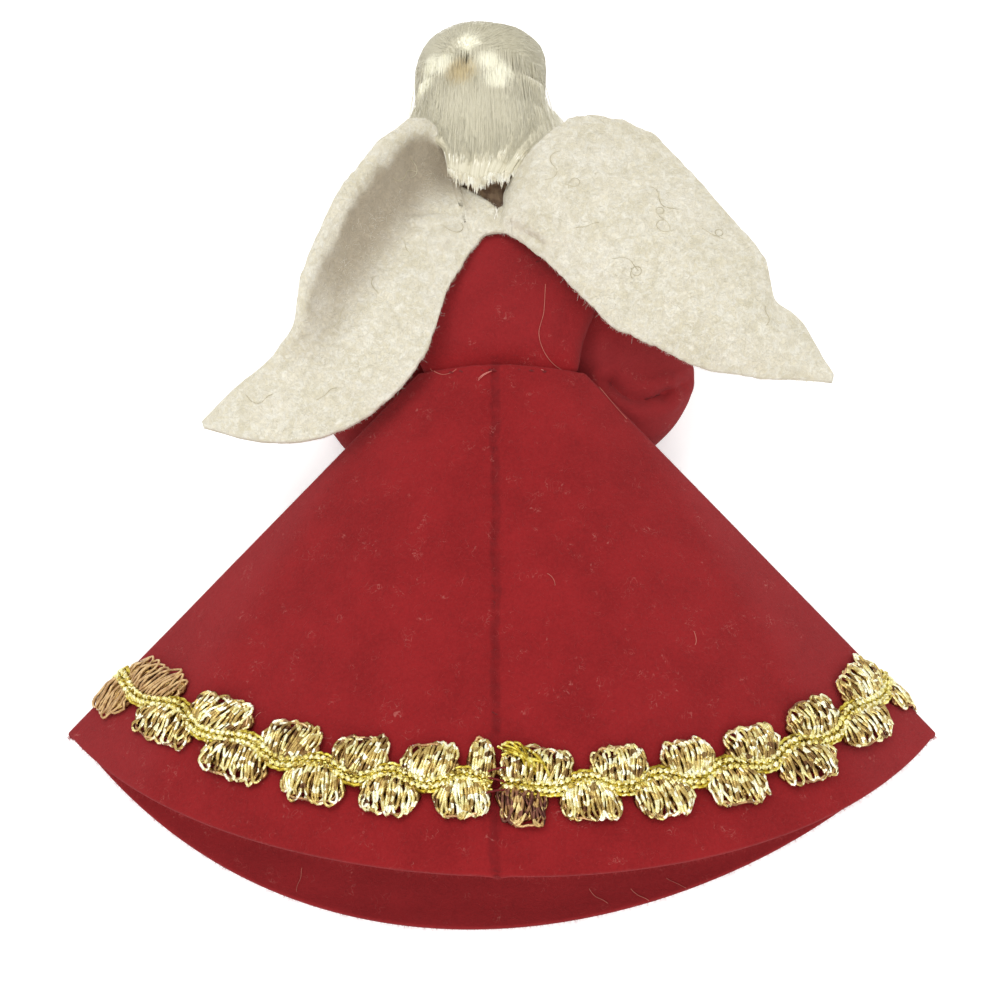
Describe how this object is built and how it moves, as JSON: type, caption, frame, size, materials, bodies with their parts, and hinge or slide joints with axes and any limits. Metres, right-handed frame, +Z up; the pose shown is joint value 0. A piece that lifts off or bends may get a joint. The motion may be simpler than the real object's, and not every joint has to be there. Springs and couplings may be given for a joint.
{
  "type": "felt angel figurine",
  "caption": "Hand-sewn felt angel figurine lying face down, with a pressed cone skirt edged in scalloped metallic braid, bent sleeves, felt wings and rolled floss hair.",
  "frame": {"origin": "under the middle of the whole figure, on the surface it lies on", "axes": "+Z up from the table to the figure's back, +Y from the hem to the crown of the head, +X to the viewer's right when looking at the figure's back"},
  "size_m": [0.1376, 0.153, 0.0353],
  "materials": {
    "red_felt": "matte needled craft felt",
    "cream_felt": "matte needled craft felt",
    "floss": "satin combed floss",
    "gold_thread": "metallic gimp thread",
    "yellow_cord": "plaited metallic cord",
    "red_thread": "sewing thread",
    "white_thread": "sewing thread",
    "batting": "loose fibre",
    "dowel_wood": "bare",
    "head_wood": "matte painted",
    "hand_felt": "matte felt"
  },
  "bodies": {
    "figure": {"skirt": "red_felt", "skirt_seam_thread": "red_thread", "waist_thread": "red_thread", "braid_upper_loops": "gold_thread", "braid_lower_loops": "gold_thread", "braid_core_cord": "yellow_cord", "braid_end_tack": "red_thread", "bodice": "red_felt", "torso_stuffing": "batting", "neck_dowel": "dowel_wood", "head_ball": "head_wood", "hair_cap": "floss", "hair_roll": "floss", "hair_fall": "floss", "wing_bridge": "cream_felt", "nape_tack_thread": "white_thread", "left_shoulder_thread": "red_thread", "right_shoulder_thread": "red_thread"},
    "left_wing": {"left_wing": "cream_felt"},
    "right_wing": {"right_wing": "cream_felt"},
    "left_arm": {"left_sleeve": "red_felt", "left_arm_core": "batting", "left_hand": "hand_felt"},
    "right_arm": {"right_sleeve": "red_felt", "right_arm_core": "batting", "right_hand": "hand_felt"}
  },
  "joints": [
    {"name": "left_wing_bend", "type": "hinge", "parent": "figure", "child": "left_wing", "pos_m": [-0.0028, 0.0346, 0.0228], "axis": [0, 1, 0], "range_deg": [0, 40], "stiffness_Nm_per_rad": 0.0002},
    {"name": "right_wing_bend", "type": "hinge", "parent": "figure", "child": "right_wing", "pos_m": [0.001, 0.0346, 0.0228], "axis": [0, -1, 0], "range_deg": [0, 40], "stiffness_Nm_per_rad": 0.0002},
    {"name": "left_arm_swing", "type": "hinge", "parent": "figure", "child": "left_arm", "pos_m": [-0.0125, 0.0331, 0.015], "axis": [0, 0, -1], "range_deg": [0, 25]},
    {"name": "right_arm_swing", "type": "hinge", "parent": "figure", "child": "right_arm", "pos_m": [0.0092, 0.0331, 0.015], "axis": [0, 0, 1], "range_deg": [0, 25]}
  ]
}
